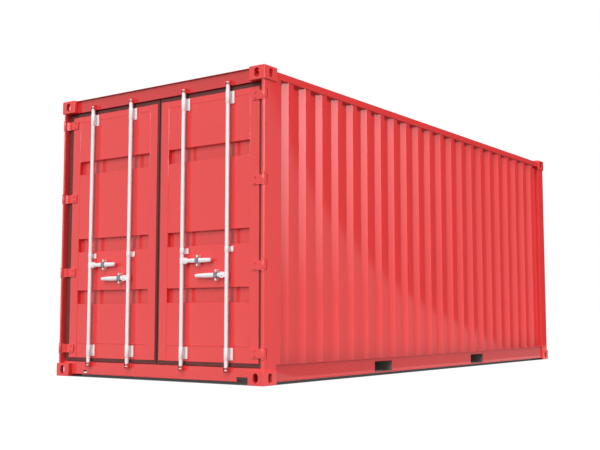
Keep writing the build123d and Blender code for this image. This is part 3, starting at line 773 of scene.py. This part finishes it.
RIVET = ((0, -0.001), (1, -0.001), (1, 0.0012), (0.82, 0.0026), (0.45, 0.0037), (0, 0.004))
RIVET_RADIUS = 0.0055
RIVET_SIDES = 14
RIVET_AWAY = 0.030
SHORT_GUIDE = 0.06
LONG_GUIDE_ROWS = (0.25, 0.75)
SHORT_GUIDE_ROWS = (0.5,)
ROLLED_AWAY = 0.0385
ROLLED_SHORTER = 0.003
ROLLED_RADIUS = 0.003
WASHER = ((0, -0.001), (1.35, -0.001), (1.35, 0.0016), (1.25, 0.002), (0, 0.002))
WASHER_SIDES = 18
BOLT_HEAD = ((0, 0.0015), (1, 0.0015), (1, 0.0068), (0.86, 0.008), (0, 0.008))
BOLT_RADIUS = 0.0075
BOLT_SIDES = 6
BOLT_RISE = 0.022
STILE_WELD = 0.0022
STILE_WELD_SHORTER = 0.004
STILE_WELD_SINK = 0.0003
STILE_WELD_AWAY = 0.0005
RAIL_WELD = 0.003
RAIL_WELD_SHORTER = 0.004
LIP_SHARES = (0.3, 0.75)
LIP_RADIUS = 0.0025
LIP_SINK = 0.0005
SCREW = ((0, -0.001), (0.0065, -0.001), (0.0065, 0.0003), (0.0058, 0.0007), (0.002, 0.0007), (0, -0.0002))
SCREW_SIDES = 12
SCREW_ROWS = 19
SCREW_COLUMNS = 7
SCREW_FROM_END = 0.12
SCREW_HALF_SPAN = 1.02
CASTING_WELD = 0.0032
CASTING_WELD_SINK = 0.002
POST_CORNER = 0.0068
POST_FACE = 0.024
POST_FLANK = 0.034


def guide_fittings(rod, made):
    """Rivets and rolled edges on each guide plate of a rod."""
    x, _, _ = rod_line(rod)
    side = rod.split("_")[0]
    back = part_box(f"{side}_door_rod_guides")[1][1]
    bm = bmesh.new()
    for z0, z1, face in GUIDES:
        front = back - face
        rows = LONG_GUIDE_ROWS if z1 - z0 > SHORT_GUIDE else SHORT_GUIDE_ROWS
        for row in rows:
            for way in (-1, 1):
                spot = (x + way * RIVET_AWAY, front, z0 + (z1 - z0) * row)
                turned(bm, RIVET, RIVET_RADIUS, spot, (0, -1, 0), RIVET_SIDES)
        for way in (-1, 1):
            edge = x + way * ROLLED_AWAY
            bead(bm, [(edge, front, z0 + ROLLED_SHORTER), (edge, front, z1 - ROLLED_SHORTER)], ROLLED_RADIUS)
    new_piece(f"{rod}_guide_fittings", bm, f"{side}_door", "galvanised_steel", made, crisp=40)


def leaf_fittings(side, made):
    """Strap bolts, and the fillet welds where the panel meets the leaf's uprights and rails."""
    sign = -1 if side == "left" else 1
    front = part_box(f"{side}_door_frame")[0][1]
    panel_front = front + PANEL_STEP
    bm = bmesh.new()
    for z in HINGE_HEIGHTS:
        for rise in (-BOLT_RISE, BOLT_RISE):
            spot = (sign * STRAP_X, front - STRAP_FRONT, z + rise)
            turned(bm, WASHER, BOLT_RADIUS, spot, (0, -1, 0), WASHER_SIDES)
            turned(bm, BOLT_HEAD, BOLT_RADIUS, spot, (0, -1, 0), BOLT_SIDES)
    inner, outer = STILE_JOINTS
    low, high = PANEL_BOTTOM + STILE_WELD_SHORTER, PANEL_TOP - STILE_WELD_SHORTER
    for joint, way in ((inner, 1), (outer, -1)):
        x = sign * (joint + way * STILE_WELD_AWAY)
        y = panel_front - STILE_WELD_SINK
        bead(bm, [(x, y, low), (x, y, high)], STILE_WELD)
    for z in (PANEL_BOTTOM, PANEL_TOP):
        start, end = sign * (inner + RAIL_WELD_SHORTER), sign * (outer - RAIL_WELD_SHORTER)
        bead(bm, [(start, panel_front, z), (end, panel_front, z)], RAIL_WELD)
    new_piece(f"{side}_door_leaf_fittings", bm, f"{side}_door", "red_paint", made, crisp=40)


def gasket_lips(side, made):
    """Two soft lips that run round the seal."""
    low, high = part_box(f"{side}_door_gasket")
    leaf_low, leaf_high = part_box(f"{side}_door_frame")
    y = low[1] + LIP_SINK
    bm = bmesh.new()
    for share in LIP_SHARES:
        x0 = leaf_low[0] + (low[0] - leaf_low[0]) * share
        x1 = leaf_high[0] + (high[0] - leaf_high[0]) * share
        z0 = leaf_low[2] + (low[2] - leaf_low[2]) * share
        z1 = leaf_high[2] + (high[2] - leaf_high[2]) * share
        bead(bm, [(x0, y, z0), (x1, y, z0), (x1, y, z1), (x0, y, z1)], LIP_RADIUS, closed=True)
    new_piece(f"{side}_door_gasket_lips", bm, f"{side}_door", "gasket_rubber", made, crisp=50)


def floor_screws(made):
    """Countersunk screw heads in rows over the floor."""
    low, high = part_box("floor_boards")
    bm = bmesh.new()
    length = high[1] - low[1] - 2 * SCREW_FROM_END
    for row in range(SCREW_ROWS):
        y = low[1] + SCREW_FROM_END + length * row / (SCREW_ROWS - 1)
        for column in range(SCREW_COLUMNS):
            x = -SCREW_HALF_SPAN + 2 * SCREW_HALF_SPAN * column / (SCREW_COLUMNS - 1)
            lathe(bm, SCREW, (x, y, high[2]), (0, 0, 1), SCREW_SIDES)
    new_piece("floor_screws", bm, "root", "galvanised_steel", made)


def casting_welds(made):
    """Weld beads where the posts stand on the lower castings and carry the upper ones."""
    bm = bmesh.new()
    levels = [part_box("bottom_corner_castings")[1][2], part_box("top_corner_castings")[0][2]]
    for post in ("door_post_right", "door_post_left", "blind_post_right", "blind_post_left"):
        low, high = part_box(post)
        x0, x1 = low[0] + CASTING_WELD_SINK, high[0] - CASTING_WELD_SINK
        y0, y1 = low[1] + CASTING_WELD_SINK, high[1] - CASTING_WELD_SINK
        path = [(x0, y0), (x1, y0), (x1, y1), (x0, y1)]
        if "door" in post:
            outer, way = (x0, 1) if "left" in post else (x1, -1)
            corner, face, y1 = outer + way * POST_CORNER, outer + way * POST_FACE, y0 + POST_FLANK
            path = [(corner, y0), (face, y0), (face, y1), (outer, y1), (outer, y0 + POST_CORNER)]
        for z in levels:
            bead(bm, [(x, y, z) for x, y in path], CASTING_WELD, closed=True)
    new_piece("casting_welds", bm, "root", "red_paint", made, crisp=50)


def add_pieces(made):
    """Everything that the solids leave to the scene."""
    for rod in RODS:
        handle(rod, made)
        rod_ends(rod, made)
        guide_fittings(rod, made)
    for side in ("left", "right"):
        leaf_fittings(side, made)
        gasket_lips(side, made)
    floor_screws(made)
    casting_welds(made)


bpy.context.scene.view_settings.view_transform = "Standard"
camera()
world()
floor()
studio()
materials = {name: maker(name, *values) for name, (maker, *values) in LOOKS.items()}
dress_nodes(materials)
add_pieces(materials)
